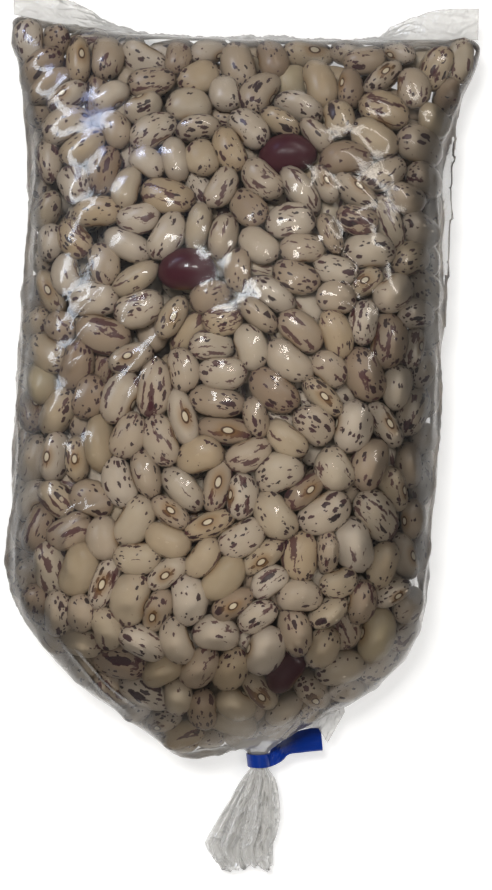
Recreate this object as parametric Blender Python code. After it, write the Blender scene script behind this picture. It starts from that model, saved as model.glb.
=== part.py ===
"""A clear film bag filled with dried beans, lying flat: one solid for the filled bag with its welded end,
gathered neck and loose tail, and one for the tape that closes the neck.

Metres, +Z up. The welded end points along +Y and the neck along -Y. The origin is the middle of the
whole object's box, on the surface that the bag lies on.
"""

import math

import bmesh
import bpy
from mathutils import Vector

MM = 0.001

# Driving sizes, in millimetres. Places along the bag are on the Y axis before the origin is moved.
WELD_Y = 124.6  # the straight weld across the closed end
WELD_CLIMB = 8.5  # how much further the weld reaches at its left corner
WELD_CLIMB_POWER = 4.4
CLIMB_FROM_Y = 60.0  # below this the climbing weld no longer pulls the film
FLAT_HALF_WIDTH = 75.0  # half of the empty tube's width, which the welded end keeps
RING_POINTS = 56

# The bag's outline from above: (place along Y, X of that side).
LEFT_SIDE = [
    (124.6, -74.6), (105.0, -71.3), (74.0, -69.1), (43.0, -71.0), (12.0, -72.8), (-19.0, -73.8),
    (-34.0, -75.0), (-46.0, -74.6), (-56.0, -70.4), (-65.0, -64.2), (-77.5, -53.3), (-84.0, -43.5),
    (-90.0, -34.5), (-95.5, -24.0),
]
RIGHT_SIDE = [
    (124.6, 74.6), (117.5, 73.2), (108.0, 68.6), (90.0, 66.4), (59.0, 64.5), (28.0, 61.8), (-3.0, 60.8),
    (-34.0, 58.9), (-46.5, 58.2), (-56.0, 56.2), (-65.0, 52.6), (-73.0, 46.8), (-79.0, 40.0),
    (-85.5, 30.0), (-91.0, 18.0), (-95.5, 9.5),
]
# (place along Y, height) of the top of the bag, of its underside and of its widest line.
TOP_HEIGHT = [
    (124.6, 17.0), (120.0, 20.5), (113.0, 25.0), (104.0, 30.0), (89.0, 36.0), (69.0, 41.0), (40.0, 44.2),
    (9.0, 45.4), (-22.0, 45.4), (-45.0, 44.0), (-60.0, 41.2), (-73.0, 36.4), (-83.0, 31.2), (-91.0, 25.8),
    (-95.5, 20.6),
]
UNDERSIDE_HEIGHT = [
    (124.6, 4.2), (115.0, 2.2), (104.0, 0.5), (93.0, 0.0), (-70.0, 0.0), (-82.0, 0.8), (-91.0, 2.4),
    (-95.5, 4.2),
]
WIDEST_HEIGHT = [
    (124.6, 10.0), (104.0, 12.5), (66.0, 16.0), (0.0, 17.5), (-55.0, 16.5), (-83.0, 13.5), (-95.5, 11.4),
]
TOP_FULLNESS = [(124.6, 6.0), (108.0, 3.0), (77.0, 2.35), (0.0, 2.2), (-66.0, 2.2), (-95.5, 2.0)]
UNDERSIDE_FULLNESS = [(124.6, 6.0), (108.0, 3.4), (77.0, 3.0), (-66.0, 3.0), (-95.5, 2.0)]
UNDERSIDE_PRESS = 1.0  # how far the underside would bulge through the surface that flattens it

# The lowest beans sag past the neck on its left.
SAG, SAG_X, SAG_HALF_WIDTH = 4.4, -18.0, 12.0
SAG_FROM_Y, SAG_TO_Y = -62.0, -94.0

# The lay-flat tube's two edges stay as narrow empty creases along the sides, widest at the upper right.
CREASE_WIDTH, CREASE_EXTRA_RIGHT = 1.2, 2.4
CREASE_FROM_Y, CREASE_EXTRA_FROM_Y, CREASE_TO_Y = -58.0, 40.0, 111.0
CREASE_FADE = 20.0

# The weld's free strip of film: it folds down behind the middle and springs out at the corners.
FIN_THICKNESS = 0.9
FIN_RINGS = 4
FIN_START = 2.9  # past the weld's line
FIN_STRIP = 9.6
FIN_HALF_WIDTH = 73.6
FIN_MIDDLE_SHARE = 0.6  # the folded middle shows less of the strip
FIN_FOLDED_DEG, FIN_SPRUNG_DEG = -78.0, 10.0
FIN_SPRINGS_FROM, FIN_SPRUNG_BY = 0.46, 0.92  # shares of the half width
FIN_RIPPLE = 0.7

# Neck and tail: (place along Y, middle X, middle Z, half width, half thickness, pleat depth).
NECK_AND_TAIL = [
    (-97.2, 3.3, 10.2, 7.6, 4.6, 0.10), (-98.2, 3.4, 9.8, 4.4, 3.3, 0.04), (-99.0, 3.5, 9.4, 3.0, 2.6, 0.0),
    (-101.6, 3.8, 8.8, 2.9, 2.5, 0.0), (-104.3, 4.1, 8.2, 3.0, 2.6, 0.0), (-105.4, 4.1, 7.9, 3.7, 2.7, 0.05),
    (-107.5, 4.0, 7.5, 4.8, 2.9, 0.12), (-111.6, 3.1, 6.6, 6.3, 3.1, 0.18), (-116.2, 2.0, 5.8, 7.8, 3.2, 0.20),
    (-120.9, 0.8, 5.0, 9.1, 3.2, 0.22), (-125.6, -0.6, 4.4, 9.9, 3.0, 0.24), (-128.7, -2.2, 4.0, 10.2, 2.8, 0.24),
    (-131.0, -1.9, 3.7, 9.7, 2.5, 0.24), (-133.3, -1.4, 3.4, 8.5, 2.2, 0.24), (-136.4, -0.3, 3.2, 7.4, 1.7, 0.20),
    (-138.6, 0.3, 3.1, 6.2, 1.2, 0.15),
]
TAIL_PLEATS = 9
PLEAT_TURN = 0.12  # how fast the pleats wind round the tail, in radians for each millimetre

# Closing tape: bunched and wrapped once round the neck, its ends stuck to each other in a flag.
WRAP_STATIONS = (2, 3, 4)  # the neck's sections above, at and below the wrap
WRAP_WIDTH = 4.4
WRAP_POINTS = 26
WRAP_OPENING_DEG = 16.0
TAPE_WALL = 0.5
TAPE_GAP = 0.35  # free space between the tape and the film inside it
TAPE_ROWS = 5
FLAG_THICKNESS = 0.7
FLAG_POINTS = 15
FLAG_FROM_X, FLAG_TO_X = 8.2, 24.0
FLAG_PLACE = [(8.2, -101.2), (10.0, -99.7), (13.4, -97.4), (18.5, -95.9), (24.0, -95.2)]
FLAG_HEIGHT = [(8.2, 8.8), (13.4, 7.4), (24.0, 6.4)]
FLAG_WIDTH = [(8.2, 4.4), (13.0, 8.0), (18.0, 9.0), (24.0, 9.0)]
FLAG_LEAN_DEG = [(8.2, 0.0), (12.0, 66.0), (17.0, 54.0), (24.0, 46.0)]

FILM_AND_BEANS = (0.178, 0.133, 0.102, 1.0)
BLUE_TAPE = (0.003, 0.031, 0.250, 1.0)


def smooth_step(value):
    """0 before 0, 1 after 1, and an even S in between."""
    t = min(max(value, 0.0), 1.0)
    return t * t * (3 - 2 * t)


def curve_through(points):
    """A smooth function through (place, value) pairs, which never swings past its neighbours."""
    points = sorted(points)
    places = [p for p, _ in points]
    values = [v for _, v in points]
    slopes = [(v2 - v1) / (p2 - p1) for (p1, v1), (p2, v2) in zip(points, points[1:])]
    tangents = [slopes[0]]
    for before, after in zip(slopes, slopes[1:]):
        together = before * after > 0
        tangents.append(2 * before * after / (before + after) if together else 0.0)
    tangents.append(slopes[-1])

    def value_at(place):
        place = min(max(place, places[0]), places[-1])
        last = len(places) - 2
        i = next((k for k in range(last + 1) if place <= places[k + 1]), last)
        step = places[i + 1] - places[i]
        t = (place - places[i]) / step
        return (
            values[i] * (2 * t**3 - 3 * t**2 + 1)
            + tangents[i] * step * (t**3 - 2 * t**2 + t)
            + values[i + 1] * (3 * t**2 - 2 * t**3)
            + tangents[i + 1] * step * (t**3 - t**2)
        )

    return value_at


left_at = curve_through(LEFT_SIDE)
right_at = curve_through(RIGHT_SIDE)
top_at = curve_through(TOP_HEIGHT)
underside_at = curve_through(UNDERSIDE_HEIGHT)
widest_at = curve_through(WIDEST_HEIGHT)
top_fullness_at = curve_through(TOP_FULLNESS)
underside_fullness_at = curve_through(UNDERSIDE_FULLNESS)
flag_place_at = curve_through(FLAG_PLACE)
flag_height_at = curve_through(FLAG_HEIGHT)
flag_width_at = curve_through(FLAG_WIDTH)
flag_lean_at = curve_through(FLAG_LEAN_DEG)


def pulled(point):
    """Lets the climbing weld pull one end of the bag with it, and the lowest beans sag at the other."""
    across = max(-1.0, min(1.0, point.x / FLAT_HALF_WIDTH))
    climb = WELD_CLIMB * ((1 - across) / 2) ** WELD_CLIMB_POWER
    climb *= smooth_step((point.y - CLIMB_FROM_Y) / (WELD_Y - CLIMB_FROM_Y))
    sag = SAG * math.exp(-(((point.x - SAG_X) / SAG_HALF_WIDTH) ** 2))
    sag *= smooth_step((point.y - SAG_FROM_Y) / (SAG_TO_Y - SAG_FROM_Y))
    return Vector((point.x, point.y + climb - sag, point.z))


def crease(y, width, from_y):
    """How far the tube's empty edge stands out from the beans at this place."""
    rise = smooth_step((y - from_y) / CREASE_FADE)
    fall = smooth_step((CREASE_TO_Y - y) / CREASE_FADE)
    return width * rise * fall


def body_ring(y, shrink=0.0, flatten=1.0):
    """One section of the filled bag. Shrink draws its sides in; flatten thins it about its widest line."""
    left, right = left_at(y) + shrink, right_at(y) - shrink
    left_crease = crease(y, CREASE_WIDTH, CREASE_FROM_Y)
    right_crease = left_crease + crease(y, CREASE_EXTRA_RIGHT, CREASE_EXTRA_FROM_Y)
    middle = (left + left_crease + right - right_crease) / 2
    half = (right - right_crease - left - left_crease) / 2
    widest = widest_at(y)
    rise = (top_at(y) - widest) * flatten
    drop = (widest - underside_at(y)) * flatten
    ring = []
    for k in range(RING_POINTS):
        angle = 2 * math.pi * k / RING_POINTS
        across, up = math.cos(angle), math.sin(angle)
        power = 2 / (top_fullness_at(y) if up >= 0 else underside_fullness_at(y))
        x = middle + half * math.copysign(abs(across) ** power, across)
        if k == 0:
            x += right_crease
        if k == RING_POINTS // 2:
            x -= left_crease
        bulge = rise if up >= 0 else drop + UNDERSIDE_PRESS * flatten
        z = widest + bulge * math.copysign(abs(up) ** power, up)
        ring.append(pulled(Vector((x, y, max(z, widest - drop)))))
    return ring


def fin_ring(share):
    """The weld's free strip at a share of its width, folded at each place as far as it springs."""
    ring = []
    for k in range(RING_POINTS):
        angle = 2 * math.pi * k / RING_POINTS
        across = math.cos(angle)
        side = FIN_THICKNESS / 2 * math.copysign(min(1.0, 3 * abs(math.sin(angle))), math.sin(angle))
        sprung = smooth_step((abs(across) - FIN_SPRINGS_FROM) / (FIN_SPRUNG_BY - FIN_SPRINGS_FROM))
        fold = math.radians(FIN_FOLDED_DEG + (FIN_SPRUNG_DEG - FIN_FOLDED_DEG) * sprung)
        strip = FIN_STRIP * (FIN_MIDDLE_SHARE + (1 - FIN_MIDDLE_SHARE) * sprung) * share
        ripple = FIN_RIPPLE * share * math.sin(9 * across + 0.8)
        along, up = math.cos(fold), math.sin(fold)
        root = pulled(Vector((FIN_HALF_WIDTH * across, WELD_Y + FIN_START, widest_at(WELD_Y))))
        ring.append(root + Vector((0, strip * along - side * up, strip * up + side * along + ripple)))
    return ring


def gathered_ring(y, x, z, half_width, half_thickness, pleat):
    """One section of the neck or the tail, with its pleats."""
    ring = []
    for k in range(RING_POINTS):
        angle = 2 * math.pi * k / RING_POINTS
        wave = pleat * math.cos(TAIL_PLEATS * angle + PLEAT_TURN * y)
        across = half_width * math.cos(angle) * (1 + 0.3 * wave)
        up = half_thickness * math.sin(angle) * (1 + wave)
        ring.append(Vector((x + across, y, z + up)))
    return ring


def body_stations():
    """Places along Y for the sections: even along the bag and closer together at both ends."""
    near_weld = [WELD_Y, 122.0, 118.5, 114.0, 108.5, 102.0]
    even = [95.0 - 7.0 * k for k in range(21)]
    near_neck = [-50.0, -55.0, -60.0, -64.5, -69.0, -73.0, -77.0, -80.5, -84.0, -87.0, -89.5, -92.0, -94.0, -95.5]
    return near_weld + even + near_neck


def object_from(name, mesh, colour, roughness):
    """Links a finished mesh into the scene, smooth where it is round, with its own plain material."""
    mesh.shade_smooth()
    mesh.set_sharp_from_angle(angle=math.radians(40))
    material = bpy.data.materials.new(name)
    material.use_nodes = True
    shader = material.node_tree.nodes["Principled BSDF"]
    shader.inputs["Base Color"].default_value = colour
    shader.inputs["Roughness"].default_value = roughness
    shader.inputs["Metallic"].default_value = 0.0
    mesh.materials.append(material)
    made = bpy.data.objects.new(name, mesh)
    bpy.context.scene.collection.objects.link(made)
    return made


def mesh_from(name, shell):
    """Turns a closed bmesh into a mesh whose faces all point out."""
    bmesh.ops.recalc_face_normals(shell, faces=shell.faces)
    mesh = bpy.data.meshes.new(name)
    shell.to_mesh(mesh)
    shell.free()
    return mesh


def lofted(name, rings):
    """A closed mesh through rings that all have the same number of points."""
    shell = bmesh.new()
    rows = [[shell.verts.new(point * MM) for point in ring] for ring in rings]
    for row, following in zip(rows, rows[1:]):
        for k in range(len(row)):
            after = (k + 1) % len(row)
            shell.faces.new((row[k], row[after], following[after], following[k]))
    for row in (rows[0], rows[-1]):
        middle = shell.verts.new(sum((v.co for v in row), Vector()) / len(row))
        for k in range(len(row)):
            shell.faces.new((row[k], row[(k + 1) % len(row)], middle))
    return mesh_from(name, shell)


def filled_bag():
    """Film and beans as one solid: fin, welded end, body, neck and tail in one loft."""
    fin = [fin_ring(share / FIN_RINGS) for share in range(FIN_RINGS, -1, -1)]
    end = [body_ring(WELD_Y, shrink=2.6, flatten=0.30), body_ring(WELD_Y, shrink=1.2, flatten=0.66)]
    for ring, step in zip(end, (2.2, 1.4)):
        for point in ring:
            point.y += step
    body = [body_ring(y) for y in body_stations()]
    gathered = [gathered_ring(*station) for station in NECK_AND_TAIL]
    mesh = lofted("filled_bag", fin + end + body + gathered)
    return object_from("filled_bag", mesh, FILM_AND_BEANS, 0.25)


def wrap_section(row):
    """One edge-to-edge section of the wrap: its outer points from the flag's top round to its bottom, the
    hole's points, and the point where the hole closes."""
    above, at, below = (NECK_AND_TAIL[k] for k in WRAP_STATIONS)
    middle = Vector((at[1], at[0], at[2]))
    down_neck = Vector((below[1] - above[1], below[0] - above[0], below[2] - above[2])).normalized()
    centre = middle + down_neck * (row / (TAPE_ROWS - 1) - 0.5) * WRAP_WIDTH
    inner_x, inner_z = at[3] + TAPE_GAP, at[4] + TAPE_GAP
    opening = math.radians(WRAP_OPENING_DEG)
    outer, hole = [], []
    for k in range(WRAP_POINTS + 1):
        angle = opening + (2 * math.pi - 2 * opening) * k / WRAP_POINTS
        across, up = math.cos(angle), math.sin(angle)
        outer.append(centre + Vector(((inner_x + TAPE_WALL) * across, 0, (inner_z + TAPE_WALL) * up)))
        if 0 < k < WRAP_POINTS:
            hole.append(centre + Vector((inner_x * across, 0, inner_z * up)))
    closing = centre + Vector((inner_x + TAPE_GAP, 0, 0))
    return outer, hole, closing


def flag_section(row):
    """One edge-to-edge section of the flag: its points on the upper side and on the lower side."""
    upper, lower = [], []
    for k in range(FLAG_POINTS):
        x = FLAG_FROM_X + (FLAG_TO_X - FLAG_FROM_X) * k / (FLAG_POINTS - 1)
        middle = Vector((x, flag_place_at(x), flag_height_at(x)))
        slope = flag_place_at(x + 0.1) - flag_place_at(x - 0.1)
        along = Vector((0.2, slope, 0)).normalized()
        lean = math.radians(flag_lean_at(x))
        level = Vector((along.y, -along.x, 0))
        width = level * math.cos(lean) + Vector((0, 0, math.sin(lean)))
        face = width.cross(along)
        centre = middle + width * (row / (TAPE_ROWS - 1) - 0.5) * flag_width_at(x)
        upper.append(centre + face * FLAG_THICKNESS / 2)
        lower.append(centre - face * FLAG_THICKNESS / 2)
    return upper, lower


def closing_tape():
    """The blue tape as one solid: a wrap round the neck and the twisted flag of its two stuck ends."""
    shell = bmesh.new()
    rims, holes = [], []
    for row in range(TAPE_ROWS):
        outer, hole, closing = wrap_section(row)
        upper, lower = flag_section(row)
        rims.append([shell.verts.new(p * MM) for p in upper[::-1] + outer + lower])
        holes.append([shell.verts.new(p * MM) for p in [closing] + hole])
    for loops in (rims, holes):
        for loop, following in zip(loops, loops[1:]):
            for k in range(len(loop)):
                after = (k + 1) % len(loop)
                shell.faces.new((loop[k], loop[after], following[after], following[k]))
    for rim, hole in ((rims[0], holes[0]), (rims[-1], holes[-1])):
        upper, outer, lower = rim[:FLAG_POINTS][::-1], rim[FLAG_POINTS:-FLAG_POINTS], rim[-FLAG_POINTS:]
        round_hole = hole + hole[:1]
        for k in range(WRAP_POINTS):
            shell.faces.new((outer[k], outer[k + 1], round_hole[k + 1], round_hole[k]))
        shell.faces.new((hole[0], outer[0], upper[0], lower[0], outer[-1]))
        for k in range(FLAG_POINTS - 1):
            shell.faces.new((upper[k], upper[k + 1], lower[k + 1], lower[k]))
    return object_from("closing_tape", mesh_from("closing_tape", shell), BLUE_TAPE, 0.35)


def stand_on_origin(pieces):
    """Moves the whole object so that its box is centred over the origin, with its lowest point at zero."""
    corners = [v.co for piece in pieces for v in piece.data.vertices]
    low = Vector(min(c[axis] for c in corners) for axis in range(3))
    high = Vector(max(c[axis] for c in corners) for axis in range(3))
    shift = Vector(((low.x + high.x) / 2, (low.y + high.y) / 2, low.z))
    for piece in pieces:
        for vertex in piece.data.vertices:
            vertex.co -= shift


for leftover in list(bpy.data.objects):
    bpy.data.objects.remove(leftover)
stand_on_origin([filled_bag(), closing_tape()])
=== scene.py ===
"""Looks for the bag of dried beans: the loose beans, the clear film round them, its tail and its tape."""

import math

import bmesh
import bpy
import numpy as np
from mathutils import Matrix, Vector, noise
from mathutils.bvhtree import BVHTree
from mathutils.kdtree import KDTree


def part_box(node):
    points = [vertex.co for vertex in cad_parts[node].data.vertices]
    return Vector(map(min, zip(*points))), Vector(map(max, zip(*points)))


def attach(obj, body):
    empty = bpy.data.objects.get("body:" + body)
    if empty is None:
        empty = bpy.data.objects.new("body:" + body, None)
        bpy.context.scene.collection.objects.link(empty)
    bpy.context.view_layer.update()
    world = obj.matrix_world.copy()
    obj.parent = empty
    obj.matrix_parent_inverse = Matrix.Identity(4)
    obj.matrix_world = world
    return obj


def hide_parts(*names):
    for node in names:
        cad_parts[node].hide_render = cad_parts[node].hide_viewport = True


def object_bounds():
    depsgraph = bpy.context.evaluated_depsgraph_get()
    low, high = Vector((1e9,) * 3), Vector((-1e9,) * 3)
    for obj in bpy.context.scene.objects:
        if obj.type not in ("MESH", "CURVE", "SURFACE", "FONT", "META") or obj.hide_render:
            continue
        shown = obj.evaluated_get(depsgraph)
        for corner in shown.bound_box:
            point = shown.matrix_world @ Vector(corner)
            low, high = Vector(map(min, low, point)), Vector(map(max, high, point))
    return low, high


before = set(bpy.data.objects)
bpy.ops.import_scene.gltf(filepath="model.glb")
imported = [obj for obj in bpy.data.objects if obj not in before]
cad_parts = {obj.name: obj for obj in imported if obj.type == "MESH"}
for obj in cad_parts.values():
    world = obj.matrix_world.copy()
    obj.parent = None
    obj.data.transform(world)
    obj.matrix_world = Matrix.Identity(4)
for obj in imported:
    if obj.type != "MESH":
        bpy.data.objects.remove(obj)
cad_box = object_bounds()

# ---------------------------------------------------------------------------------------------------
# The room inside the film
# The bag is a tube of clear film about 0.05 mm thick. Whatever is in it has to stay inside its surface,
# so that surface is measured first, on an even grid of points.

MM = 0.001
ROOM_STEP = 2.5 * MM


def smooth_step(values):
    """0 before 0, 1 after 1, and an even S in between."""
    t = np.clip(values, 0.0, 1.0)
    return t * t * (3 - 2 * t)


def welded_copy(node):
    """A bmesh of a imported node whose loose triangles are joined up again."""
    copy = bmesh.new()
    copy.from_mesh(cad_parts[node].data)
    bmesh.ops.remove_doubles(copy, verts=copy.verts, dist=1e-6)
    return copy


bag_solid = welded_copy("filled_bag")
bag_tree = BVHTree.FromBMesh(bag_solid)
room_low = np.array(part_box("filled_bag")[0]) - 2 * ROOM_STEP
room_high = np.array(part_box("filled_bag")[1]) + 2 * ROOM_STEP
room_shape = np.ceil((room_high - room_low) / ROOM_STEP).astype(int) + 1


def measure_room():
    """Distance from the bag's surface at each grid point, negative inside."""
    depth = np.empty(room_shape)
    for i in range(room_shape[0]):
        for j in range(room_shape[1]):
            x, y = room_low[0] + i * ROOM_STEP, room_low[1] + j * ROOM_STEP
            crossings = []
            start = Vector((x, y, room_high[2]))
            while True:
                hit = bag_tree.ray_cast(start, Vector((0, 0, -1)))[0]
                if hit is None:
                    break
                crossings.append(hit.z)
                start = hit - Vector((0, 0, 1e-5))
            for k in range(room_shape[2]):
                z = room_low[2] + k * ROOM_STEP
                above = sum(1 for height in crossings if height > z)
                gap = bag_tree.find_nearest(Vector((x, y, z)))[3]
                depth[i, j, k] = -gap if above % 2 else gap
    return depth


room = measure_room()
room_slope = np.stack(np.gradient(room, ROOM_STEP), axis=-1)


def in_room(points, grid):
    """Reads the grid between its points, at any places in the room."""
    at = np.clip((points - room_low) / ROOM_STEP, 0, np.array(room_shape) - 1.001)
    cell = at.astype(int)
    part = at - cell
    value = 0
    for corner in np.ndindex(2, 2, 2):
        weight = np.prod(np.where(corner, part, 1 - part), axis=-1)
        sample = grid[cell[..., 0] + corner[0], cell[..., 1] + corner[1], cell[..., 2] + corner[2]]
        value = value + (weight[..., None] * sample if grid.ndim == 4 else weight * sample)
    return value

# ---------------------------------------------------------------------------------------------------
# Where the beans lie
# Dried borlotti-type beans, 13 to 17 mm long, poured in and shaken down until they jam against the film.
# They are packed as rigid clusters of balls that grow to full size while they push each other apart.

BEAN_LENGTH, BEAN_WIDTH, BEAN_THICKNESS = 15.9 * MM, 10.5 * MM, 8.2 * MM
FILLED_SHARE = 0.68  # of the room that beans take up
SIZE_SPREAD, SMALLEST, LARGEST = 0.085, 0.82, 1.18
FILM_GAP = 0.35 * MM
PACKING_STEPS, GROWING_STEPS, SETTLING_STEPS = 260, 150, 40
FIRST_SIZE = 0.62  # what a bean starts from, of its full size
OUTWARD_DRIFT = 0.13 * MM  # a step, towards the film
LIE_DOWN = 0.12  # how hard each step turns a bean by the film level with it
# Beans that keep their place: three dark red ones against the top, then those that jam in the corners and
# the sag. Place in shares of the bag's half width and half length, turn in degrees, size, and depth under
# the top in mm.
HELD_BEANS = (
    (0.17, 0.59, 8.0, 1.16, 5.6), (-0.235, 0.335, -4.0, 1.2, 5.8), (0.16, -0.52, 52.0, 0.98, 5.0),
    (0.905, 0.822, 84.0, 0.92, 5.4), (0.80, 0.80, 66.0, 0.95, 5.2), (-0.915, 0.862, 95.0, 0.98, 5.4),
    (-0.26, -0.670, 20.0, 0.86, 5.2), (-0.05, -0.640, -15.0, 0.92, 5.4),
)
DARK_RED_COUNT = 3
HELD_RISE = 0.8 * MM
# The balls that stand for a bean: middle, in its length, width and thickness directions, and radius.
BEAN_BALLS = np.array([
    (0.0, 1.1, 0.0, 3.95), (0.0, -0.9, 0.0, 3.95), (2.7, 0.9, 0.0, 3.75), (-2.7, 0.9, 0.0, 3.75),
    (2.7, -0.9, 0.0, 3.75), (-2.7, -0.9, 0.0, 3.75), (4.7, 0.0, 0.0, 3.05), (-4.7, 0.0, 0.0, 3.05),
]) * MM

chance = np.random.default_rng(11)


def unit(vectors):
    """The same directions at length one."""
    return vectors / np.maximum(np.linalg.norm(vectors, axis=-1, keepdims=True), 1e-9)


def turns(axis_angles):
    """Rotation matrices for vectors that point along the axis and are as long as the angle."""
    angle = np.linalg.norm(axis_angles, axis=-1)[:, None, None]
    x, y, z = unit(axis_angles).T
    zero = np.zeros_like(x)
    cross = np.stack([zero, -z, y, z, zero, -x, -y, x, zero], axis=-1).reshape(-1, 3, 3)
    return np.eye(3) + np.sin(angle) * cross + (1 - np.cos(angle)) * (cross @ cross)


def summed(where, vectors, count):
    """Adds up vectors for each index."""
    return np.stack([np.bincount(where, vectors[:, axis], count) for axis in range(3)], axis=-1)


def pack_beans():
    """Middles, rotations and sizes of all the beans in the room, once they have jammed."""
    room_volume = (room < 0).sum() * ROOM_STEP**3
    count = int(room_volume * FILLED_SHARE / (math.pi / 6 * BEAN_LENGTH * BEAN_WIDTH * BEAN_THICKNESS))
    tries = chance.uniform(room_low, room_high, (60 * count, 3))
    middles = tries[in_room(tries, room) < -3.5 * MM][:count]
    count = len(middles)
    sizes = np.clip(chance.normal(1.0, SIZE_SPREAD, count), SMALLEST, LARGEST)
    outward = unit(in_room(middles, room_slope))
    sideways = chance.normal(size=(count, 3))
    along = unit(sideways - (sideways * outward).sum(1, keepdims=True) * outward)
    turned = np.stack([along, np.cross(outward, along), outward], axis=-1)
    rolled = turns(along * chance.normal(0, 0.9, (count, 1)))
    turned = turns(chance.normal(0, 0.2, (count, 3))) @ rolled @ turned
    held = len(HELD_BEANS)
    half_size = np.array(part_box("filled_bag")[1])
    for k, (across, along, degrees, size, depth) in enumerate(HELD_BEANS):
        place = half_size * (across, along, 1) + (0, 0, ROOM_STEP)
        top = bag_tree.ray_cast(Vector(place), Vector((0, 0, -1)))[0]
        middles[k], sizes[k] = top - Vector((0, 0, depth * MM)), size
        turned[k] = turns(np.array([[0, 0, math.radians(degrees)]]))[0]
    held_places, held_turns = middles[:held].copy(), turned[:held].copy()
    held_play = np.array((0, 0, HELD_RISE))
    for step in range(PACKING_STEPS):
        grown = FIRST_SIZE + (1 - FIRST_SIZE) * min(1.0, step / GROWING_STEPS)
        scale = (sizes * grown)[:, None, None]
        balls = middles[:, None, :] + np.einsum("nij,kj->nki", turned, BEAN_BALLS[:, :3]) * scale
        radii = BEAN_BALLS[None, :, 3] * scale[:, :, 0]
        if step % 10 == 0:
            apart = ((middles[:, None, :] - middles[None, :, :]) ** 2).sum(-1)
            one, other = np.nonzero(np.triu(apart < (1.3 * BEAN_LENGTH * grown) ** 2, 1))
        gap = balls[one][:, :, None, :] - balls[other][:, None, :, :]
        distance = np.sqrt((gap**2).sum(-1))
        overlap = radii[one][:, :, None] + radii[other][:, None, :] - distance
        pair, i, j = np.nonzero(overlap > 0)
        half = 0.5 * overlap[pair, i, j] / np.maximum(distance[pair, i, j], 1e-9)
        push = gap[pair, i, j] * half[:, None]
        past_film = in_room(balls, room) + radii + FILM_GAP
        n, k = np.nonzero(past_film > 0)
        back = -1.5 * unit(in_room(balls[n, k], room_slope)) * past_film[n, k][:, None]
        bean = np.concatenate([one[pair], other[pair], n])
        place = np.concatenate([balls[one[pair], i], balls[other[pair], j], balls[n, k]])
        force = np.concatenate([push, -push, back])
        arm = place - middles[bean]
        contacts = np.maximum(np.bincount(bean, minlength=count), 1)[:, None]
        reach = np.bincount(bean, (arm**2).sum(1), count)[:, None] + (2 * MM) ** 2 * contacts
        spin = summed(bean, np.cross(arm, force), count) / reach
        middles += 1.6 * summed(bean, force, count) / contacts
        if step < PACKING_STEPS - SETTLING_STEPS:
            near_film = np.clip((in_room(middles, room) + 14 * MM) / (10 * MM), 0, 1)
            outward = in_room(middles, room_slope)
            middles += OUTWARD_DRIFT * outward * near_film[:, None]
            along = turned[:, :, 0]
            upright = (along * unit(outward)).sum(1, keepdims=True)
            spin -= LIE_DOWN * near_film[:, None] * upright * np.cross(along, unit(outward))
        turned = turns(np.clip(1.4 * spin, -0.25, 0.25)) @ turned
        middles[:held] = np.clip(middles[:held], held_places - held_play, held_places + held_play)
        turned[:held] = held_turns
    return middles, turned, sizes


bean_middles, bean_turns, bean_sizes = pack_beans()
bean_depths = -in_room(bean_middles, room)

# ---------------------------------------------------------------------------------------------------
# The beans
# Each is a plump kidney with its scar, the hilum, on the inner edge. The seed coat is dry, smooth and
# slightly shiny: beige, flecked lengthwise with dark purple-brown, and now and then blotched with maroon.

BEAN_BEND = 0.75 * MM
SCAR_HALF_LENGTH, SCAR_DENT = 2.0 * MM, 0.45 * MM
SHAPE_SPREADS = (0.05, 0.06, 0.25, 0.05)  # of slenderness, flatness, bend and taper
# Stain, rim and oval: reach in half lengths of the oval, where its edge starts to fade, strength and colour.
SCAR_RINGS = ((3.6, 0.22, 0.7, "#8E6C40"), (1.45, 0.8, 1.0, "#523421"), (0.95, 0.8, 1.0, "#CFC3AB"))
SHOWN_DEPTH = 13.0 * MM  # beans with their middle deeper than this are hidden
LOWEST_BEAN = 0.15 * MM  # above what the bag lies on
# Flecks, in three sizes: spacing in mm, how far they are drawn out with the bean's length, and radius in
# spacings.
FLECKS = ((1.05, (0.48, 1.0, 1.0), 0.42), (1.7, (0.38, 1.0, 1.0), 0.42), (3.1, (0.32, 1.0, 1.0), 0.34))
LOT_SHIFT = (97, 83, 71)  # mm; sets each bean's pattern apart from the others'
PLAIN_SHARE = 0.04  # of the beans have no flecks


def linear(hex_colour):
    """An sRGB hex colour as the linear one that shaders take."""
    parts = [int(hex_colour[k:k + 2], 16) / 255 for k in (1, 3, 5)]
    return tuple(p / 12.92 if p <= 0.04045 else ((p + 0.055) / 1.055) ** 2.4 for p in parts) + (1.0,)


def add(tree, kind, settings=None, **inputs):
    """Adds a node; settings are its properties, inputs are values or sockets to link, by name or _index."""
    node = tree.nodes.new(kind)
    for name, value in (settings or {}).items():
        setattr(node, name, value)
    for name, value in inputs.items():
        socket = node.inputs[int(name[1:])] if name[0] == "_" else node.inputs[name.replace("_", " ")]
        if isinstance(value, bpy.types.NodeSocket):
            tree.links.new(value, socket)
        else:
            socket.default_value = value
    return node


def new_material(name):
    """An empty node material and its output's surface socket."""
    material = bpy.data.materials.new(name)
    material.use_nodes = True
    material.node_tree.nodes.clear()
    output = material.node_tree.nodes.new("ShaderNodeOutputMaterial")
    return material, material.node_tree, output.inputs["Surface"]


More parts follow.
